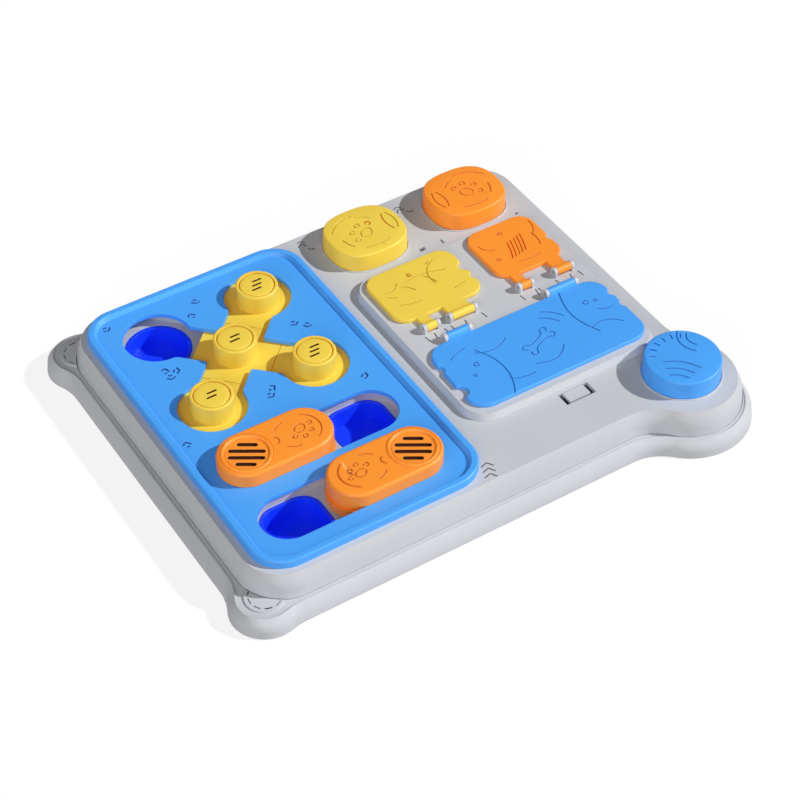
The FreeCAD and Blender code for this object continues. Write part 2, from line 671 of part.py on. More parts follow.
def square_cap_well(at):
    def outline(grow, z):
        return squircle(at, cap_half(cap_well_inset() - grow), z)
    return well(outline, CAP_WELL_DEPTH, CAP_WELL_FLANGE, FLANGE_RISE, Z_DECK + FLANGE_RISE)


def round_cap_well():
    def outline(grow, z):
        return circle(ROUND_CAP_AT, ROUND_CAP_RADIUS - cap_well_inset() + grow, z)
    return well(outline, CAP_WELL_DEPTH, CAP_WELL_FLANGE, FLANGE_RISE, Z_DECK + FLANGE_RISE)


def cross_opening(z0, height):
    """Opening of the cover over the cross: two arms and five round lobes, softly joined."""
    half = ARM_WIDTH / 2
    bars = []
    for angle in (45, -45):
        bar = box((CROSS_AT[0] - PITCH, CROSS_AT[0] + PITCH),
                  (CROSS_AT[1] - half, CROSS_AT[1] + half), (z0, z0 + height))
        bars.append(turned(bar, CROSS_AT, angle))
    for name in cross_cells():
        if name != "centre":
            bars.append(cylinder(station(name), CROSS_LOBE_RADIUS, z0, z0 + height))
    body = fuse(bars).removeSplitter()
    reach = PITCH - math.sqrt(CROSS_LOBE_RADIUS ** 2 - half ** 2)

    def upright_at(distance):
        found = []
        for edge in body.Edges:
            middle = edge.BoundBox.Center
            away = math.hypot(middle.x - CROSS_AT[0], middle.y - CROSS_AT[1])
            if edge.BoundBox.ZLength > height - 0.01 and abs(away - distance) < 0.5:
                found.append(edge)
        return found
    body = body.makeFillet(NECK_BLEND, upright_at(math.hypot(reach, half)))
    return body.makeFillet(ARM_CORNER, upright_at(half * math.sqrt(2)))


def cover_plate():
    """Blue cover with a raised rim, the cross opening and the two slots."""
    body = prism(frame_wire(0, Z_DECK), COVER_THICK + COVER_RIM_HEIGHT)
    body = body.makeFillet(COVER_EDGE, [e for e in body.Edges if e.BoundBox.ZMin > Z_COVER])
    dish = between(frame_wire(COVER_RIM_WIDTH, Z_COVER),
                   frame_wire(COVER_RIM_WIDTH - COVER_RIM_SLOPE, Z_COVER + COVER_RIM_HEIGHT))
    body = body.cut(dish)
    body = body.cut(cross_opening(Z_DECK, COVER_THICK + COVER_RIM_HEIGHT))
    for y in SLOT_Y.values():
        body = body.cut(prism(stadium(SLOT_X, y, SLOT_RADIUS, Z_DECK), COVER_THICK + COVER_RIM_HEIGHT))
    return body


def block(at):
    """Sliding block: square plate under the cover with a tall round knob."""
    z0 = Z_CHANNEL + RUNNING
    z1 = Z_DECK - RUNNING
    plate = prism(cell(at, 0, z0), z1 - z0)
    knob = Part.makeCone(KNOB_FOOT_RADIUS, KNOB_TOP_RADIUS, Z_KNOB - z1, Vector(at[0], at[1], z1))
    top = [e for e in knob.Edges if e.BoundBox.ZMin > Z_KNOB - 0.01]
    knob = knob.makeFillet(KNOB_EDGE, top)
    body = plate.fuse(knob)
    return body.cut(cylinder(at, DISC_RADIUS + PRESS, Z_KNOB - DISC_THICK, Z_KNOB))


def knob_disc(at, slits):
    """Disc pressed into the knob's top, with short scent slits."""
    z_top = Z_KNOB - DISC_SINK
    disc = cylinder(at, DISC_RADIUS, Z_KNOB - DISC_THICK, z_top)
    for i in range(slits):
        step = (i - (slits - 1) / 2.0) * SLIT_PITCH
        x = at[0] + step * SLIT_SHIFT
        slit = stadium((x - SLIT_HALF, x + SLIT_HALF), at[1] + step, SLIT_RADIUS, z_top - SLIT_DEPTH)
        disc = disc.cut(prism(slit, SLIT_DEPTH))
    return disc


def slider_x(side):
    """Ends of a slider's body at rest, against the left or the right end of its slot."""
    if side == "left":
        return (SLOT_X[0] + STOP, SLOT_X[0] + STOP + SLIDER_LENGTH)
    return (SLOT_X[1] - STOP - SLIDER_LENGTH, SLOT_X[1] - STOP)


def slider_centre(row):
    """Middle of the grille end of a slider."""
    x = slider_x("left" if row == "rear" else "right")
    if row == "rear":
        return (x[0] + SLOT_RADIUS - RUNNING, SLOT_Y[row])
    return (x[1] - SLOT_RADIUS + RUNNING, SLOT_Y[row])


def slider(row):
    """Long cap that slides on the cover, with its neck in the slot."""
    x = slider_x("left" if row == "rear" else "right")
    y = SLOT_Y[row]
    grow = SLIDER_OVERHANG
    neck_radius = SLOT_RADIUS - RUNNING
    z0 = Z_COVER + SLIDER_LIFT
    cap = prism(stadium((x[0] - grow, x[1] + grow), y, neck_radius + grow, z0), Z_KNOB - z0)
    cap = cap.makeFillet(SLIDER_EDGE, [e for e in cap.Edges if e.BoundBox.ZMin > Z_KNOB - 0.01])
    neck = prism(stadium(x, y, neck_radius, Z_DECK - RUNNING), z0 - Z_DECK + RUNNING)
    body = cap.fuse(neck)
    at = slider_centre(row)
    return body.cut(cylinder(at, GRILLE_RADIUS + PRESS, Z_KNOB - DISC_THICK, Z_KNOB))


def slider_keeper(row):
    """Plate under the cover that holds the slider down, screwed face to face to its neck."""
    x = slider_x("left" if row == "rear" else "right")
    grow = KEEPER_OVERLAP
    z0 = Z_CHANNEL + RUNNING
    wire = stadium((x[0] - grow, x[1] + grow), SLOT_Y[row], SLOT_RADIUS - RUNNING + grow, z0)
    return prism(wire, Z_DECK - RUNNING - z0)


def slider_grille(row):
    """Round insert with four scent slots, turned to the board's diagonal."""
    at = slider_centre(row)
    z_top = Z_KNOB - DISC_SINK
    disc = cylinder(at, GRILLE_RADIUS, Z_KNOB - DISC_THICK, z_top)
    slots = []
    for i, half in enumerate(GRILLE_HALVES):
        y = at[1] + ((len(GRILLE_HALVES) - 1) / 2.0 - i) * GRILLE_PITCH
        wire = stadium((at[0] - half, at[0] + half), y, GRILLE_SLOT_RADIUS, z_top - GRILLE_SLOT_DEPTH)
        slots.append(prism(wire, GRILLE_SLOT_DEPTH))
    return disc.cut(turned(fuse(slots), at, GRILLE_TURN))


def raised_panel():
    """Raised plate that carries the lids: flared wall, plate, openings and hinge ears."""
    grow = PANEL_FLARE
    foot_wire = rect_grown(PANEL_X, PANEL_Y, grow, PANEL_CORNER, Z_DECK)
    body = between(foot_wire, rounded_rect(PANEL_X, PANEL_Y, PANEL_CORNER, Z_PANEL))
    inner = rect_grown(PANEL_X, PANEL_Y, -PANEL_WALL, PANEL_CORNER, Z_DECK)
    body = body.cut(prism(inner, PANEL_RISE - PANEL_PLATE))
    for name in LIDS:
        x, y = food_box(name)
        wire = rounded_rect(x, y, box_corner(name), Z_DECK)
        body = body.cut(prism(wire, PANEL_RISE))
    for name, spans in KNUCKLES.items():
        for span in spans:
            body = body.fuse([ear(name, span[0] - SEAT - EAR_THICK), ear(name, span[1] + SEAT)])
            body = body.cut(hinge_bar(name, (span[0] - SEAT, span[1] + SEAT), HINGE_RADIUS + EAR_CLEARANCE))
    return body.cut(pin_bores())


def hinge_bar(name, x, radius):
    """Bar along a hinge axis between two x values."""
    return Part.makeCylinder(radius, x[1] - x[0], Vector(x[0], HINGE_Y[name], Z_HINGE), Vector(1, 0, 0))


def ear(name, x0):
    """Upright ear with a round head on the hinge axis."""
    y = HINGE_Y[name]
    r = HINGE_RADIUS
    head = hinge_bar(name, (x0, x0 + EAR_THICK), r)
    stem = box((x0, x0 + EAR_THICK), (y - r, y + r), (Z_PANEL - PANEL_PLATE / 2, Z_HINGE))
    return head.fuse(stem)


def pin_bores():
    bores = []
    for name, spans in KNUCKLES.items():
        for span in spans:
            reach = SEAT + EAR_THICK
            bores.append(hinge_bar(name, (span[0] - reach, span[1] + reach), PIN_RADIUS + PIN_CLEARANCE))
    return fuse(bores)


def hinge_pin(name, span):
    reach = SEAT + EAR_THICK
    return hinge_bar(name, (span[0] - reach, span[1] + reach), PIN_RADIUS)


def lid_side(name):
    """Direction from the hinge to the lid: +1 to the rear, -1 to the front."""
    return 1 if HINGE_Y[name] < LIDS[name]["y"][0] else -1


def lid(name):
    """Lid plate with soft edges, two knuckles on arms and finger notches at its ends."""
    data = LIDS[name]
    x, y = data["x"], data["y"]
    z0 = Z_PANEL + LID_SEAT_GAP
    z1 = z0 + LID_THICK
    plate = prism(rounded_rect(x, y, data["corner"], z0), LID_THICK)
    for end, along, beyond, radius in NOTCHES[name]:
        middle_x = x[1] + beyond if end == "right" else x[0] - beyond
        plate = plate.cut(cylinder((middle_x, y[0] + along), radius, z0, z1))
    plate = plate.makeFillet(LID_EDGE, [e for e in plate.Edges if e.BoundBox.ZMin > z1 - 0.01])
    side = lid_side(name)
    near = y[0] if side > 0 else y[1]
    body = plate
    for span in KNUCKLES[name]:
        y_pair = sorted((HINGE_Y[name], near + side * ARM_OVERLAP))
        arm = box(span, y_pair, (z0, z1))
        body = body.fuse([arm, hinge_bar(name, span, HINGE_RADIUS - KNUCKLE_UNDER)])
    for span in KNUCKLES[name]:
        body = body.cut(hinge_bar(name, span, PIN_RADIUS + PIN_CLEARANCE))
    under = hinge_bar(name, x, HINGE_RADIUS).BoundBox
    return body.cut(box(x, (under.YMin, under.YMax), (under.ZMin, Z_PANEL + LID_SEAT_GAP / 4)))


def square_cap(at):
    """Squircle cap: hollow, with a soft top edge."""
    return soft_cap(lambda inset, z: squircle(at, cap_half(inset), z))


def round_cap():
    return soft_cap(lambda inset, z: circle(ROUND_CAP_AT, ROUND_CAP_RADIUS - inset, z))


def soft_cap(outline):
    """Tapered shell with a rounded top edge, open below; outline(inset, z) gives its line."""
    z0 = Z_DECK + CAP_LIFT
    z_top = z0 + CAP_HEIGHT
    soft = CAP_EDGE
    steps = 3
    rings = [outline(0, z0), outline(CAP_TAPER, z_top - soft)]
    for i in range(1, steps + 1):
        a = math.pi / 2 * i / steps
        rings.append(outline(CAP_TAPER + soft * (1 - math.cos(a)), z_top - soft + soft * math.sin(a)))
    body = fuse([between(low, high) for low, high in zip(rings, rings[1:])])
    inner = CAP_WALL
    hollow = between(outline(inner, z0), outline(inner + CAP_TAPER, z_top - CAP_WALL))
    return body.cut(hollow)


def panel_catch():
    """Snap catch of the raised panel, seen in its window in front of the panel."""
    half = CATCH_WINDOW[0] / 2 - CATCH_HOOK_IN
    x = (CATCH_AT[0] - half, CATCH_AT[0] + half)
    y0 = CATCH_AT[1] - CATCH_WINDOW[1] / 2 + CATCH_WALL
    y1 = CATCH_AT[1] + CATCH_WINDOW[1] / 2 - SEAT
    under = Z_DECK - CATCH_HOOK[0]
    foot_z = Z_PLATE_UNDER - CATCH_DROP
    hook = box(x, (y0, y1), (under, Z_DECK - CATCH_HOOK[1]))
    stem = box(x, (y1 - CATCH_WALL, y1), (foot_z, under))
    tie = box(x, (y1 - CATCH_WALL, y1 + CATCH_DROP), (foot_z, Z_PLATE_UNDER))
    return fuse([hook, stem, tie])


def main():
    os.makedirs("parts", exist_ok=True)
    save(base_tray(), "base_tray")
    save(deck_shell(), "deck_shell")
    save(channel_frame(), "channel_frame")
    save(cover_plate(), "cover_plate")
    save(raised_panel(), "raised_panel")
    save(panel_catch(), "panel_catch")
    save(screws(), "case_screws")
    for name, at in zip(("rear_left", "front_left", "rear_right", "front_right"), foot_places()):
        save(foot(at), "foot_" + name)
    for name in cross_cells():
        save(cross_well(station(name)), "cross_well_" + name)
    for name, at in slot_well_places().items():
        save(slot_well(at), "slot_well_" + name)
    for name in LIDS:
        save(lid_box(name), "food_box_" + name)
        save(lid(name), "lid_" + name)
        for side, span in zip(("left", "right"), KNUCKLES[name]):
            save(hinge_pin(name, span), "hinge_pin_%s_%s" % (name, side))
    slits = {"centre": 2, "rear_right": 3, "front_right": 3, "front_left": 2}
    for name, count in slits.items():
        save(block(station(name)), "block_" + name)
        save(knob_disc(station(name), count), "knob_disc_" + name)
    for row in SLOT_Y:
        save(slider(row), "slider_" + row)
        save(slider_keeper(row), "slider_keeper_" + row)
        save(slider_grille(row), "slider_grille_" + row)
    for name, at in SQUARE_CAPS.items():
        save(square_cap(at), "cap_" + name)
        save(square_cap_well(at), "cap_well_" + name)
    save(round_cap(), "cap_round")
    save(round_cap_well(), "cap_well_round")


main()
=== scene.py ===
import json
import math

import bpy
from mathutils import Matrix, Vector


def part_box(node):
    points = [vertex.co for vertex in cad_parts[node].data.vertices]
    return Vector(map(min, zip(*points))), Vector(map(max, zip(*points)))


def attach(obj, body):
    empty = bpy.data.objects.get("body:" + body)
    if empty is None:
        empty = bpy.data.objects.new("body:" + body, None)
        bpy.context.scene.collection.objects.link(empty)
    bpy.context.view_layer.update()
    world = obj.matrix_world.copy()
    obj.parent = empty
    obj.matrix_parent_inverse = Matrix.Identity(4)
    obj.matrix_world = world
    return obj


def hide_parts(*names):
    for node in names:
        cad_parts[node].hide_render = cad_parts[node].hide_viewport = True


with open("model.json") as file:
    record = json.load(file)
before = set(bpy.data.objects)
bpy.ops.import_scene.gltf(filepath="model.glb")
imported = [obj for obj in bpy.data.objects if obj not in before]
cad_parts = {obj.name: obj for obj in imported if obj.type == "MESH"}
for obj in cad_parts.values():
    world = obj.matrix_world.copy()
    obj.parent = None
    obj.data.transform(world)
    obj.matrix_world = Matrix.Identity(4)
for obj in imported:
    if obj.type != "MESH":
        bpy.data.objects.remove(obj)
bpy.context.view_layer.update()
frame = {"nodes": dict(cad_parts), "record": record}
nodes = frame["nodes"]
bpy.ops.object.select_all(action="DESELECT")
scene = bpy.context.scene


# Camera
# A long lens looks down on the board's near left corner from about a metre and a third.
LENS = 0.0937
SENSOR = 0.036
LOOK_AT = Vector((-0.0052, -0.0067, 0.0008))
DISTANCE = 1.3541
AZIMUTH = math.radians(-32.348)
ELEVATION = math.radians(44.812)

back = Vector((math.sin(AZIMUTH) * math.cos(ELEVATION),
               -math.cos(AZIMUTH) * math.cos(ELEVATION),
               math.sin(ELEVATION)))
bpy.ops.object.camera_add(location=LOOK_AT + back * DISTANCE,
                          rotation=back.to_track_quat("Z", "Y").to_euler())
camera = bpy.context.object
camera.data.lens = LENS * 1000
camera.data.sensor_width = SENSOR * 1000
camera.data.clip_end = 10.0
scene.camera = camera


# Floor
# A pale matt sweep under the board. The camera sees it as white, with the board's shadow kept
# light.
FLOOR_SIZE = 6.0
FLOOR_PALE = (0.14, 0.14, 0.145, 1.0)
SHADOW_SHARE = 0.18

bpy.ops.mesh.primitive_plane_add(size=FLOOR_SIZE, location=(0, 0, 0))
floor = bpy.context.object
floor.name = "floor"
floor_paint = bpy.data.materials.new("floor_white")
floor_paint.use_nodes = True
paint = floor_paint.node_tree
paint.nodes.clear()
matt = paint.nodes.new("ShaderNodeBsdfDiffuse")
matt.inputs["Color"].default_value = FLOOR_PALE
white = paint.nodes.new("ShaderNodeBsdfDiffuse")
white.inputs["Color"].default_value = (1, 1, 1, 1)
glow = paint.nodes.new("ShaderNodeEmission")
glow.inputs["Color"].default_value = (1, 1, 1, 1)
glow.inputs["Strength"].default_value = 1.0
seen = paint.nodes.new("ShaderNodeMixShader")
seen.inputs["Fac"].default_value = SHADOW_SHARE
ray = paint.nodes.new("ShaderNodeLightPath")
direct = paint.nodes.new("ShaderNodeMath")
direct.operation = "MAXIMUM"
pick_ray = paint.nodes.new("ShaderNodeMixShader")
out = paint.nodes.new("ShaderNodeOutputMaterial")
paint.links.new(glow.outputs["Emission"], seen.inputs[1])
paint.links.new(white.outputs["BSDF"], seen.inputs[2])
paint.links.new(ray.outputs["Is Camera Ray"], direct.inputs[0])
paint.links.new(ray.outputs["Is Glossy Ray"], direct.inputs[1])
paint.links.new(direct.outputs["Value"], pick_ray.inputs["Fac"])
paint.links.new(matt.outputs["BSDF"], pick_ray.inputs[1])
paint.links.new(seen.outputs["Shader"], pick_ray.inputs[2])
paint.links.new(pick_ray.outputs["Shader"], out.inputs["Surface"])
floor.data.materials.append(floor_paint)


# Light
# A lamp high on the right throws crisp shadows to the left. A wide soft lamp by the camera and
# the pale room fill them.
LAMP_FROM = Vector((0.700, -0.374, 0.609))
LAMP_STRENGTH = 3.3
LAMP_SPREAD = math.radians(1.5)
FILL_FROM = Vector((-0.656, -0.625, 0.420))
FILL_STRENGTH = 2.0
FILL_SPREAD = math.radians(60.0)
WORLD_STRENGTH = 0.12


def sun(direction, strength, spread):
    """Distant lamp shining from the given direction."""
    bpy.ops.object.light_add(type="SUN", location=direction)
    lamp = bpy.context.object
    lamp.rotation_euler = direction.to_track_quat("Z", "Y").to_euler()
    lamp.data.energy = strength
    lamp.data.angle = spread


sun(LAMP_FROM, LAMP_STRENGTH, LAMP_SPREAD)
sun(FILL_FROM, FILL_STRENGTH, FILL_SPREAD)
world = bpy.data.worlds.new("pale_room")
scene.world = world
world.use_nodes = True
sky = world.node_tree.nodes["Background"]
sky.inputs["Color"].default_value = (1, 1, 1, 1)
sky.inputs["Strength"].default_value = WORLD_STRENGTH
scene.view_settings.view_transform = "Standard"


# Base tray
# The lobed tray is injection moulded in light gray ABS with a fine satin grain. Its left lobes
# carry round pads with a broken ring groove; it stands on four stuck-on rubber feet.
def srgb(red, green, blue):
    """Linear colour of a 0 to 255 screen colour."""
    linear = []
    for value in (red, green, blue):
        v = value / 255
        linear.append(v / 12.92 if v <= 0.04045 else ((v + 0.055) / 1.055) ** 2.4)
    return (*linear, 1.0)


GRAIN_SIZE = 0.0006
GRAIN_DEPTH = 0.000008
GRAIN_GLOSS = 0.08
FLOW_SCALE = 14.0
EDGE_RADIUS = 0.0005


def make_moulded_skin():
    """Node group: grain and broken edges as a normal, a slight change of tone and of gloss."""
    group = bpy.data.node_groups.new("moulded_skin", "ShaderNodeTree")
    for name, kind, value in (("Color", "NodeSocketColor", (0.8, 0.8, 0.8, 1)),
                              ("Roughness", "NodeSocketFloat", 0.4),
                              ("Tone", "NodeSocketFloat", 0.04),
                              ("Edge Radius", "NodeSocketFloat", EDGE_RADIUS)):
        socket = group.interface.new_socket(name=name, in_out="INPUT", socket_type=kind)
        socket.default_value = value
    for name, kind in (("Color", "NodeSocketColor"), ("Roughness", "NodeSocketFloat"),
                       ("Normal", "NodeSocketVector")):
        group.interface.new_socket(name=name, in_out="OUTPUT", socket_type=kind)
    new = group.nodes.new
    link = group.links.new
    start = new("NodeGroupInput")
    end = new("NodeGroupOutput")
    place = new("ShaderNodeTexCoord")

    flow = new("ShaderNodeTexNoise")
    flow.inputs["Scale"].default_value = FLOW_SCALE
    flow.inputs["Detail"].default_value = 3.0
    link(place.outputs["Object"], flow.inputs["Vector"])
    spread = new("ShaderNodeMapRange")
    spread.inputs["From Min"].default_value = 0.3
    spread.inputs["From Max"].default_value = 0.7
    link(flow.outputs["Fac"], spread.inputs["Value"])
    link(start.outputs["Tone"], spread.inputs["To Max"])
    shade = new("ShaderNodeMix")
    shade.data_type = "RGBA"
    shade.blend_type = "MULTIPLY"
    shade.inputs["B"].default_value = (0.0, 0.0, 0.0, 1)
    link(spread.outputs["Result"], shade.inputs["Factor"])
    link(start.outputs["Color"], shade.inputs["A"])
    link(shade.outputs["Result"], end.inputs["Color"])

    grain = new("ShaderNodeTexNoise")
    grain.inputs["Scale"].default_value = 1 / GRAIN_SIZE
    grain.inputs["Detail"].default_value = 2.0
    link(place.outputs["Object"], grain.inputs["Vector"])
    gloss = new("ShaderNodeMath")
    gloss.operation = "MULTIPLY_ADD"
    gloss.inputs[1].default_value = GRAIN_GLOSS
    link(grain.outputs["Fac"], gloss.inputs[0])
    link(start.outputs["Roughness"], gloss.inputs[2])
    link(gloss.outputs["Value"], end.inputs["Roughness"])

    edge = new("ShaderNodeBevel")
    edge.samples = 6
    link(start.outputs["Edge Radius"], edge.inputs["Radius"])
    bump = new("ShaderNodeBump")
    bump.inputs["Distance"].default_value = GRAIN_DEPTH
    bump.inputs["Strength"].default_value = 1.0
    link(grain.outputs["Fac"], bump.inputs["Height"])
    link(edge.outputs["Normal"], bump.inputs["Normal"])
    link(bump.outputs["Normal"], end.inputs["Normal"])
    return group


moulded_skin = make_moulded_skin()


def moulded(name, colour, roughness, gloss=0.5, tone=0.03, painted_glow=None, metallic=0.0):
    """Material of one colour; its optional emission is a painted glow that lightens the plastic's
    shade.
    """
    material = bpy.data.materials.new(name)
    material.use_nodes = True
    tree = material.node_tree
    shader = tree.nodes["Principled BSDF"]
    skin = tree.nodes.new("ShaderNodeGroup")
    skin.node_tree = moulded_skin
    skin.inputs["Color"].default_value = srgb(*colour)
    skin.inputs["Roughness"].default_value = roughness
    skin.inputs["Tone"].default_value = tone
    skin.inputs["Edge Radius"].default_value = EDGE_RADIUS
    shader.inputs["Specular IOR Level"].default_value = gloss
    shader.inputs["Metallic"].default_value = metallic
    # Painted glow: an emission that keeps the plastic bright in its shade, though it is no lamp.
    if painted_glow:
        shader.inputs["Emission Color"].default_value = (*painted_glow, 1.0)
        shader.inputs["Emission Strength"].default_value = 1.0
    tree.links.new(skin.outputs["Color"], shader.inputs["Base Color"])
    tree.links.new(skin.outputs["Roughness"], shader.inputs["Roughness"])
    tree.links.new(skin.outputs["Normal"], shader.inputs["Normal"])
    return material


def dress(piece, material):
    """One material all over a piece."""
    piece.data.materials.clear()
    piece.data.materials.append(material)


deck_gray = moulded("deck_gray", (196, 198, 203), 0.42)
# Painted shade: darker grays for the cut faces of grooves, where shade falls in them.
gray_groove_painted_shade = moulded("gray_groove_painted_shade", (92, 94, 102), 0.6)
pad_groove_painted_shade = moulded("pad_groove_painted_shade", (146, 148, 156), 0.6)

mm = 0.001
MERGE_DISTANCE = 0.000002
CREASE = math.radians(32)
row_of = {row["node"]: row for row in frame["record"]["subparts"]}
body_of = {}
for body, members in frame["record"]["behaviour"]["bodies"].items():
    for member in members:
        body_of[member] = body


def pick(piece):
    """Make a piece the only selected and the active one."""
    bpy.ops.object.select_all(action="DESELECT")
    piece.select_set(True)
    bpy.context.view_layer.objects.active = piece


def middle_of(node):
    """Centre of a solid's box in plan, in metres."""
    low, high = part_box(node)
    return (low.x + high.x) / 2, (low.y + high.y) / 2


def from_solid(node, name, material):
    """Own copy of a solid's mesh, merged, that stands for the solid."""
    piece = bpy.data.objects.new(name, nodes[node].data.copy())
    scene.collection.objects.link(piece)
    pick(piece)
    bpy.ops.mesh.customdata_custom_splitnormals_clear()
    bpy.ops.object.mode_set(mode="EDIT")
    bpy.ops.mesh.select_all(action="SELECT")
    bpy.ops.mesh.remove_doubles(threshold=MERGE_DISTANCE)
    bpy.ops.object.mode_set(mode="OBJECT")
    dress(piece, material)
    settle(piece, node)
    return piece


def settle(piece, node):
    """Ride on the solid's body, stand for it and keep its material slot."""
    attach(piece, body_of[node])
    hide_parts(node)


def smooth(piece):
    """Shade smooth, and keep the edges that turn by more than the crease angle."""
    pick(piece)
    bpy.ops.object.shade_smooth_by_angle(angle=CREASE)


def carve(piece, cutter):
    """Cut a shape out of a piece; the cut faces take the cutter's material.

    A cut that loses half of the piece's faces has failed, and is undone.
    """
    whole = piece.data.copy()
    cut = piece.modifiers.new("cut", "BOOLEAN")
    cut.object = cutter
    cut.operation = "DIFFERENCE"
    cut.solver = "EXACT"
    cut.material_mode = "TRANSFER"
    pick(piece)
    bpy.ops.object.modifier_apply(modifier=cut.name)
    bpy.data.objects.remove(cutter)
    if len(piece.data.polygons) < len(whole.polygons) / 2:
        piece.data = whole


def tube_cutter(line, z, radius, material, order):
    """Round tube along control points given in metres; order 2 keeps its corners sharp."""
    curve = bpy.data.curves.new("line", "CURVE")
    curve.dimensions = "3D"
    curve.bevel_depth = radius
    curve.bevel_resolution = 1
    curve.use_fill_caps = True
    curve.resolution_u = 5 if len(line) < 8 else 3
    spline = curve.splines.new("NURBS")
    spline.points.add(len(line) - 1)
    for point, (x, y) in zip(spline.points, line):
        point.co = (x, y, z, 1)
    spline.order_u = min(order, len(line))
    spline.use_endpoint_u = True
    tube = bpy.data.objects.new("line", curve)
    scene.collection.objects.link(tube)
    pick(tube)
    bpy.ops.object.convert(target="MESH")
    bpy.ops.object.mode_set(mode="EDIT")
    bpy.ops.mesh.select_all(action="SELECT")
    bpy.ops.mesh.remove_doubles(threshold=MERGE_DISTANCE)
    bpy.ops.mesh.normals_make_consistent(inside=False)
    bpy.ops.object.mode_set(mode="OBJECT")
    dress(tube, material)
    return tube


def engrave(piece, lines, z, radius, material, order=3):
    """Cut one shallow groove along each line in the face at height z."""
    for line in lines:
        carve(piece, tube_cutter(line, z, radius, material, order))


def turned(lines, turn, size=1.0):
    """Lines turned about their origin by degrees, and scaled."""
    c, s = math.cos(math.radians(turn)) * size, math.sin(math.radians(turn)) * size
    return [[(x * c - y * s, x * s + y * c) for x, y in line] for line in lines]


def drawn(lines, at, turn=0.0):
    """Place lines drawn in millimetres at a point of the frame, turned by degrees."""
    return [[(at[0] + x * mm, at[1] + y * mm) for x, y in line] for line in turned(lines, turn)]


def sweep(x, y, radius, start, end, squash=1.0):
    """Arc about x, y from one angle to another, in millimetres and degrees."""
    count = max(3, int(abs(end - start) / 18) + 2)
    line = []
    for i in range(count):
        a = math.radians(start + (end - start) * i / (count - 1))
        line.append((x + radius * math.cos(a), y + radius * math.sin(a) * squash))
    return line


tray = from_solid("base_tray", "tray", deck_gray)
PAD_TOP = 0.0137
PAD_FROM_FOOT = 4.5 * mm
DASH_RADIUS = 10.2
DASH_ANGLE = 26
DASH_PITCH = 40
GROOVE_RADIUS = 0.00045
dashes = [sweep(0, 0, DASH_RADIUS, a, a + DASH_ANGLE) for a in range(0, 360, DASH_PITCH)]
for foot, inwards in (("foot_rear_left", -1), ("foot_front_left", 1)):
    foot_x, foot_y = middle_of(foot)
    pad_at = (foot_x + PAD_FROM_FOOT, foot_y + inwards * PAD_FROM_FOOT)
    # The dashes' cut faces are painted a darker gray as shade.
    engrave(tray, drawn(dashes, pad_at), PAD_TOP, GROOVE_RADIUS, pad_groove_painted_shade)
smooth(tray)

foot_rubber = moulded("foot_rubber", (70, 72, 76), 0.7)
for node in ("foot_rear_left", "foot_front_left", "foot_rear_right", "foot_front_right"):
    dress(nodes[node], foot_rubber)


# Deck shell
# The upper gray shell is one moulding: skirt, sloped shoulder, top plate and lip rings. It is
# screwed to the tray from below. A few small marks are engraved in its top.
deck = from_solid("deck_shell", "deck", deck_gray)
DECK_TOP = 0.0298
chevrons = [[(-4, 0), (0, 3.2), (4, 0)],
            [(-4, -4.6), (0, -1.4), (4, -4.6)],
            [(-4, -9.2), (0, -6.0), (4, -9.2)]]
curls = [sweep(0, 0, 2.6, 200, 20),
         [(3.6, -1.0), (6.4, -3.0), (8.4, -1.4)],
         [(-4.0, 3.8), (-1.6, 5.6), (1.6, 4.6)]]
marks = drawn(chevrons, (-0.0065, -0.1085), -20) + drawn(curls, (0.0022, 0.1290), -30)
marks += drawn(curls, (0.0790, 0.1250), -10)
# The marks' cut faces are painted a darker gray as shade.
engrave(deck, marks, DECK_TOP, GROOVE_RADIUS, gray_groove_painted_shade, order=2)
smooth(deck)

POCKET_TOP = 0.0268
POCKET_WALL = 0.0008
POCKET_INSET = 0.0007
CATCH_WINDOW = (0.0225, 0.0105)
CATCH_BACK = 0.00265
DRAIN_AT = (0.0699, 0.08365)
DRAIN_HOLE = (0.0046, 0.0034)
VENT_AT = (0.0859, 0.08335)
VENT_HOLE = (0.0016, 0.0047)
# Painted shade: the cups are dark gray, as the shade inside the holes.
pocket_painted_shade = moulded("pocket_painted_shade", (70, 71, 78), 0.7)


def pocket(name, at, size, depth):
    """Shallow cup moulded under a small hole, so that crumbs stay out of the case; its dark gray
    is painted shade.
    """
    bpy.ops.mesh.primitive_cube_add(size=1.0)
    cup = bpy.context.object
    cup.name = name
    pick(cup)
    cup.scale = (size[0] + 2 * POCKET_WALL, size[1] + 2 * POCKET_WALL, depth)
    cup.location = (at[0], at[1], POCKET_TOP - depth / 2)
    bpy.ops.object.transform_apply(location=True, rotation=True, scale=True)
    for face in cup.data.polygons:
        face.select = face.normal.z > 0.9
    bpy.ops.object.mode_set(mode="EDIT")
    bpy.ops.mesh.select_mode(type="FACE")
    bpy.ops.mesh.inset(thickness=POCKET_INSET, depth=0)
    bpy.ops.mesh.extrude_region_move(
        TRANSFORM_OT_translate={"value": (0, 0, -depth + POCKET_WALL)})
    bpy.ops.object.mode_set(mode="OBJECT")
    dress(cup, pocket_painted_shade)
    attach(cup, "board")


catch_x, catch_y = middle_of("panel_catch")
pocket("catch_pocket", (catch_x, catch_y - CATCH_BACK), CATCH_WINDOW, 0.0056)
pocket("drain_pocket", DRAIN_AT, DRAIN_HOLE, 0.003)
pocket("slot_pocket", VENT_AT, VENT_HOLE, 0.003)

screw_steel = moulded("screw_steel", (190, 192, 196), 0.3, metallic=0.9)
dress(nodes["case_screws"], screw_steel)


# Channel frame
# The gray guide frame under the cover is a plain moulding, a little duller than the deck. Its
# floor shows beside the wells where a slot is open.
frame_gray = moulded("frame_gray", (184, 186, 193), 0.5)
dress(nodes["channel_frame"], frame_gray)


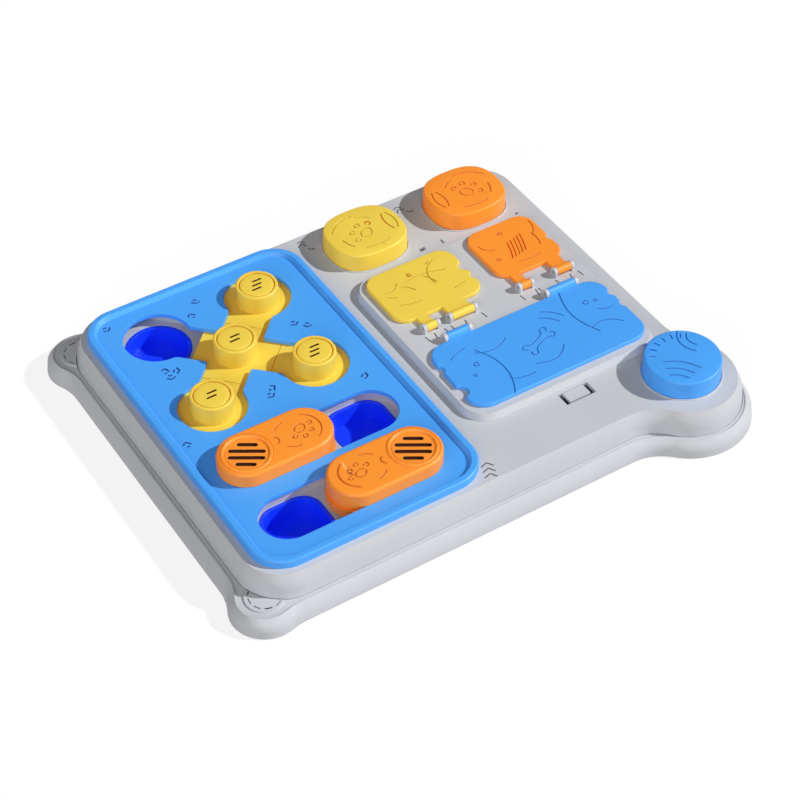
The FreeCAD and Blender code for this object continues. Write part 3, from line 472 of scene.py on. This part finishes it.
# Food wells
# The drop-in cups are deep blue and glossy; a painted blue glow, an emission, keeps their colour
# in the shade. They hang by their rims in the guide frame and in the deck.
# Painted glow: the blue emission lightens the wells' shade.
well_blue = moulded("well_blue", (22, 66, 222), 0.3, gloss=0.4, tone=0.06, painted_glow=(0.0, 0.0, 0.20))
for node, row in row_of.items():
    if row["material_slot"] == "well_blue":
        dress(nodes[node], well_blue)


# Cover plate
# The sky-blue cover is clipped over the frame and has a raised rim all round. Small ticks are
# moulded into its face between the openings.
# The cover blue carries a faint painted glow, an emission that lightens its shade.
cover_blue = moulded("cover_blue", (74, 160, 232), 0.38, painted_glow=(0.0, 0.015, 0.13))
# Painted shade: darker blues for the cut faces of ticks and lines.
blue_groove_painted_shade = moulded("blue_groove_painted_shade", (28, 112, 205), 0.5)
tick_painted_shade = moulded("tick_painted_shade", (8, 78, 165), 0.5)
COVER_TOP = 0.0328
TICK = [[(-2.6, 1.0), (0.2, -1.0), (3.0, 0.8)], [(-1.2, 3.2), (1.4, 2.2)]]
HOOK = [[(-2.2, 1.8), (1.0, 2.2), (1.6, -2.0)], [(-2.0, -1.2), (-0.4, -2.2)]]
TICK_RADIUS = 0.0006
TICK_PLACES = ((-148.8, 122.3, TICK, 20), (-87.8, 115.3, TICK, -15), (-95.8, 105.3, HOOK, 40),
               (-134.8, 68.3, HOOK, 10), (-127.8, 64.3, TICK, 70), (-134.8, 60.3, TICK, -10),
               (-84.8, 18.3, HOOK, -40), (-88.8, 12.3, TICK, 15), (-42.8, 62.3, TICK, 5),
               (-36.8, 56.3, TICK, -25), (-153.8, 3.3, HOOK, 30), (-28.8, -3.8, TICK, 60))
ticks = []
for x, y, shape, turn in TICK_PLACES:
    ticks += drawn(shape, (x * mm, y * mm), turn)
cover = from_solid("cover_plate", "cover", cover_blue)
engrave(cover, ticks, COVER_TOP, TICK_RADIUS, tick_painted_shade, order=2)
smooth(cover)


# Sliding blocks
# Four yellow blocks ride in the cross channel, each with a tall round knob. A slightly domed
# disc is pressed into the knob's top and has two or three short scent slits.
# The yellow carries a painted orange glow, an emission that warms its shade.
sun_yellow = moulded("sun_yellow", (226, 206, 76), 0.4, painted_glow=(0.11, 0.012, 0.0))
# Painted shade: slit and slot faces are dark brown, as the shade inside them.
slit_painted_shade = moulded("slit_painted_shade", (78, 34, 8), 0.7)
DISC_RADIUS = 0.0113
DISC_EDGE_DROP = 0.0003
SLIT_PITCH = 3.7
SLIT_LEAN = 0.55
SLIT_HALF = 0.0029
SLIT_RADIUS = 0.00068
SLIT_DEPTH = 0.0014
CUTTER_OVER = 0.002
CUTTER_SIDES = 20


def slot_cutter(at, half, radius, z0, z1, turn, material):
    """Upright cutter with round ends, for a slit or a slot."""
    bpy.ops.mesh.primitive_cylinder_add(vertices=CUTTER_SIDES, radius=radius, depth=z1 - z0,
                                        location=(0, 0, (z0 + z1) / 2),
                                        rotation=(0, 0, math.pi / CUTTER_SIDES))
    cutter = bpy.context.object
    pick(cutter)
    bpy.ops.object.transform_apply(location=True, rotation=True, scale=True)
    c, s = math.cos(math.radians(turn)), math.sin(math.radians(turn))
    for vertex in cutter.data.vertices:
        x = vertex.co.x + math.copysign(half, vertex.co.x)
        y = vertex.co.y
        vertex.co.x = at[0] + x * c - y * s
        vertex.co.y = at[1] + x * s + y * c
    dress(cutter, material)
    return cutter


def stepped_disc(name, at, radius, z0, z1, steps, material):
    """Turned disc: each step insets the top face and lifts it, in millimetres."""
    bpy.ops.mesh.primitive_cylinder_add(vertices=96, radius=radius, depth=z1 - z0,
                                        location=(at[0], at[1], (z0 + z1) / 2))
    disc = bpy.context.object
    disc.name = name
    pick(disc)
    bpy.ops.object.transform_apply(location=True, rotation=True, scale=True)
    for face in disc.data.polygons:
        face.select = face.normal.z > 0.9
    bpy.ops.object.mode_set(mode="EDIT")
    bpy.ops.mesh.select_mode(type="FACE")
    for width, rise in steps:
        bpy.ops.mesh.inset(thickness=width * mm, depth=0)
        bpy.ops.transform.translate(value=(0, 0, rise * mm))
    bpy.ops.object.mode_set(mode="OBJECT")
    dress(disc, material)
    return disc


DOME = ((0.5, 0.3), (1.2, 0.15), (3.0, 0.12), (3.0, 0.04))
for place, slits in (("centre", 2), ("rear_right", 3), ("front_right", 3), ("front_left", 2)):
    dress(nodes["block_" + place], sun_yellow)
    node = "knob_disc_" + place
    at = middle_of(node)
    low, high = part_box(node)
    disc = stepped_disc("domed_disc_" + place, at, DISC_RADIUS, low.z, high.z - DISC_EDGE_DROP,
                        DOME, sun_yellow)
    for i in range(slits):
        step = (i - (slits - 1) / 2) * SLIT_PITCH
        slit_at = (at[0] + step * SLIT_LEAN * mm, at[1] + step * mm)
        carve(disc, slot_cutter(slit_at, SLIT_HALF, SLIT_RADIUS, high.z - SLIT_DEPTH,
                                high.z + CUTTER_OVER, 0, slit_painted_shade))
    smooth(disc)
    settle(disc, node)


# Sliders
# Two orange caps slide in the straight slots, held by a keeper plate under the cover. One end
# has a round grille in a raised ring; a paw print and a few curves are moulded in the rest.
# The orange carries a painted red glow, an emission that warms its shade.
warm_orange = moulded("warm_orange", (244, 150, 46), 0.4, painted_glow=(0.09, 0.0, 0.0))
# Painted shade: a darker orange for the cut faces of the curves and lines.
orange_groove_painted_shade = moulded("orange_groove_painted_shade", (222, 108, 20), 0.5)
GRILLE_RING = ((0.5, 0.7), (0.8, 0.3), (0.9, -0.1), (0.6, -0.5), (0.4, -0.7), (0.3, 0.3))
GRILLE_RADIUS = 0.0166
GRILLE_HALVES = (5.0, 10.0, 10.0, 5.0)
GRILLE_PITCH = 5.5
GRILLE_TURN = -32
GRILLE_OFF = (0.0003, 0.0008)
GRILLE_SLOT_RADIUS = 0.00145
GRILLE_SLOT_DEPTH = 0.0018
PAW_FROM_GRILLE = 0.0385
CURVE_RADIUS = 0.00048


def paw(turn, size):
    """Paw print of open arcs: one pad and four toes, in millimetres."""
    lines = [sweep(0, -1.6, 4.2, 12, 350, 0.76)]
    for angle, reach in ((18, 8.4), (66, 8.6), (114, 8.6), (162, 8.4)):
        a = math.radians(angle)
        x, y = reach * math.cos(a), reach * math.sin(a) - 2.0
        lines.append(sweep(x, y, 1.55, angle - 150, angle + 150))
    return turned(lines, turn, size)


around_paw = [sweep(0, 0, 12.6, -62, 66),
              sweep(-19.5, 0, 3.4, -70, 60),
              [(-14.8, 7.6), (-11.6, 10.6), (-7.4, 11.4)],
              [(-14.6, -8.2), (-11.0, -11.4), (-6.6, -11.8)]]
for row, flip, paw_turn in (("rear", 1, 205), ("front", -1, 20)):
    dress(nodes["slider_keeper_" + row], warm_orange)
    body = from_solid("slider_" + row, "slide_cap_" + row, warm_orange)
    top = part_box("slider_" + row)[1].z
    grille_node = "slider_grille_" + row
    at = middle_of(grille_node)
    low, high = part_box(grille_node)
    paw_at = (at[0] + flip * PAW_FROM_GRILLE, at[1])
    curves = drawn(paw(paw_turn, 0.92), paw_at)
    curves += drawn(around_paw, paw_at, 0 if flip > 0 else 180)
    engrave(body, curves, top, CURVE_RADIUS, orange_groove_painted_shade)
    smooth(body)
    grille = stepped_disc("grille_" + row, at, GRILLE_RADIUS, low.z, high.z, GRILLE_RING,
                          warm_orange)
    slots_at = (at[0] - GRILLE_OFF[0], at[1] - GRILLE_OFF[1])
    across = math.radians(GRILLE_TURN + 90)
    for i, half in enumerate(GRILLE_HALVES):
        step = ((len(GRILLE_HALVES) - 1) / 2 - i) * GRILLE_PITCH * mm
        slot_at = (slots_at[0] + step * math.cos(across), slots_at[1] + step * math.sin(across))
        # The grille slots' faces are painted dark brown as shade.
        carve(grille, slot_cutter(slot_at, half * mm, GRILLE_SLOT_RADIUS,
                                  high.z - GRILLE_SLOT_DEPTH, high.z + CUTTER_OVER, GRILLE_TURN,
                                  slit_painted_shade))
    smooth(grille)
    settle(grille, grille_node)


# Raised panel
# The gray plate that carries the lids has a flared wall and upright hinge ears. Thin dark slits
# beside the ears are painted shadows of the ears: shallow grooves with a darker gray in them.
panel = from_solid("raised_panel", "panel", deck_gray)
PANEL_TOP = 0.0348
EAR_SHADOW_BESIDE = 0.0012
EAR_SHADOW_START = 0.0046
EAR_SHADOW_RADIUS = 0.0004
# Painted shadows: a short dark groove runs beside each ear where the ear's shadow falls.
slits = []
for pin, way in (("yellow_left", -1), ("yellow_right", -1), ("orange_left", -1),
                 ("orange_right", -1), ("blue_left", 1), ("blue_right", 1)):
    low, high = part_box("hinge_pin_" + pin)
    for x in (low.x - EAR_SHADOW_BESIDE, high.x + EAR_SHADOW_BESIDE):
        y = (low.y + high.y) / 2 + way * EAR_SHADOW_START
        slits.append([(x, y), (x + 0.0002, y + way * 0.0026), (x + 0.0009, y + way * 0.0056)])
engrave(panel, slits, PANEL_TOP, EAR_SHADOW_RADIUS, gray_groove_painted_shade)
smooth(panel)
dress(nodes["panel_catch"], deck_gray)


# Hinge pins
# Each lid turns on two short steel pins, pressed into the ears.
pin_steel = moulded("pin_steel", (190, 192, 196), 0.28, metallic=0.9)
for node in nodes:
    if node.startswith("hinge_pin_"):
        dress(nodes[node], pin_steel)


# Lids
# The three lids are flat mouldings with two knuckles each. Their tops carry shallow lines:
# arcs, dots, hatching and a bone, a plain design of its own.
# Painted shade: a darker yellow for the cut faces of the lines.
yellow_groove_painted_shade = moulded("yellow_groove_painted_shade", (206, 172, 42), 0.5)
LID_TOP = 0.0378
LID_LINE_RADIUS = 0.00042


def bone(length, turn):
    """Outline of a bone in two open halves, in millimetres."""
    h = length / 2
    upper = [(-h - 1.6, 0.9), (-h - 4.6, 4.2), (-h + 0.6, 6.2), (-h + 2.2, 2.2), (0, 1.8),
             (h - 2.2, 2.2), (h - 0.6, 6.2), (h + 4.6, 4.2), (h + 1.6, 0.9)]
    lower = [(x, -y) for x, y in upper]
    return turned((upper, lower), turn)


def dots(*places):
    """Small open rings at places of x, y and radius, in millimetres."""
    return [sweep(x, y, radius, 10, 340) for x, y, radius in places]


def plate_middle(node):
    """Middle of a lid's plate, without its hinge arms, from the food box under it."""
    return middle_of(node.replace("lid_", "food_box_"))


yellow_lines = [
    sweep(2, -30, 40, 62, 108),
    sweep(24, 2, 17, 108, 196),
    sweep(-24, 16, 11, 250, 330),
    [(-14, 6), (-9, 3.4), (-7, -2.0)],
    [(4, 8), (8, 3.2), (9.4, -2.4)],
    [(-24, -9), (-17, -12.4), (-9, -12.0)],
    [(16, -14), (20, -11), (25.4, -12.2)],
    [(-26, 1.5), (-24.4, -1.0), (-21.4, -1.4)],
] + dots((-3, 13, 1.3), (14, 17, 1.1))
hatching = [[(-8 + i * 3.1, -11 + i * 0.7), (-4.6 + i * 3.1, -4 + i * 0.7),
             (-2.4 + i * 3.1, 4.6 + i * 0.9)] for i in range(5)]
orange_lines = [
    sweep(-12, 12, 9.4, 180, 262),
    sweep(10, 14, 13, 300, 372),
    [(-6, -15.5), (2, -18), (11, -15.0)],
    [(16, -9), (18.6, -2), (17.4, 5.0)],
] + hatching + dots((-17, -7, 1.2), (-1.5, 15, 1.5))
blue_lines = [
    sweep(74, 10, 42, 150, 214),
    sweep(-70, -8, 38, -38, 38),
    sweep(44, -22, 16, 30, 118),
    sweep(-30, 30, 21, 236, 310),
    [(-14, -16), (-4, -20.5), (7, -17.0), (12, -11)],
    [(12, 18), (19, 14.5), (22, 8)],
    [(16.6, 22), (24, 18.6), (27.6, 11)],
    [(-36, -18.5), (-28, -23.4), (-18, -22.4)],
    [(-58, 15), (-52, 19.6), (-44, 20.0)],
    [(50, 5), (54.5, 1), (60, 1.8)],
] + bone(19, 24) + dots((-46, 3.5, 1.7), (-52, -4.5, 1.1), (47, 14, 1.8), (54, 12.4, 1.1))
# The lines' cut faces take each plastic's darker groove colour, painted shade.
for name, lines, material, groove_shade in (("yellow", yellow_lines, sun_yellow, yellow_groove_painted_shade),
                                      ("orange", orange_lines, warm_orange, orange_groove_painted_shade),
                                      ("blue", blue_lines, cover_blue, blue_groove_painted_shade)):
    lid = from_solid("lid_" + name, name + "_flap", material)
    engrave(lid, drawn(lines, plate_middle("lid_" + name)), LID_TOP, LID_LINE_RADIUS, groove_shade)
    smooth(lid)


# Lift-off caps
# Hollow caps with soft edges sit inside thin lip rings on the deck. The square ones carry a paw
# print between curved lines, the round one ripples and short rays.
def cap_lines(side):
    """Paw, leaf and arcs of a square cap; side -1 mirrors the layout."""
    lines = [[(x + 1.5, y - 1.0) for x, y in line] for line in paw(-38, 1.15)]
    lines.append(sweep(3, 0, 20.5, 96, 26, 0.86))
    lines.append(sweep(-7, 0, 16.5, 148, 212, 1.05))
    lines.append(sweep(-33, 0, 17.0, 30, -30, 1.05))
    lines.append([(-10, -15.6), (-1, -18.4), (9, -16.0)])
    lines.append([(14.5, -11.4), (17.6, -7.0), (18.4, -1.2)])
    lines.append([(-9.6, 9.2), (-6.4, 13.2), (-1.2, 14.6)])
    return [[(x * side, y) for x, y in line] for line in lines]


round_lines = [sweep(-22, -22, radius, 18, 72) for radius in (14, 20, 26.5)]
round_lines += [sweep(20, 10, radius, 128, 226) for radius in (8.0, 14.0)]
for angle in range(58, 150, 18):
    c, s = math.cos(math.radians(angle)), math.sin(math.radians(angle))
    round_lines.append([(17.0 * c, 17.0 * s), (19.4 * c + 0.6, 19.4 * s), (21.6 * c, 21.6 * s)])
# The caps' lines also take each plastic's darker groove colour, painted shade.
for node, lines, material, groove_shade in (("cap_yellow", cap_lines(-1), sun_yellow, yellow_groove_painted_shade),
                                      ("cap_orange", cap_lines(1), warm_orange, orange_groove_painted_shade),
                                      ("cap_round", round_lines, cover_blue, blue_groove_painted_shade)):
    cap = from_solid(node, node + "_top", material)
    engrave(cap, drawn(lines, middle_of(node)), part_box(node)[1].z, GROOVE_RADIUS, groove_shade)
    smooth(cap)
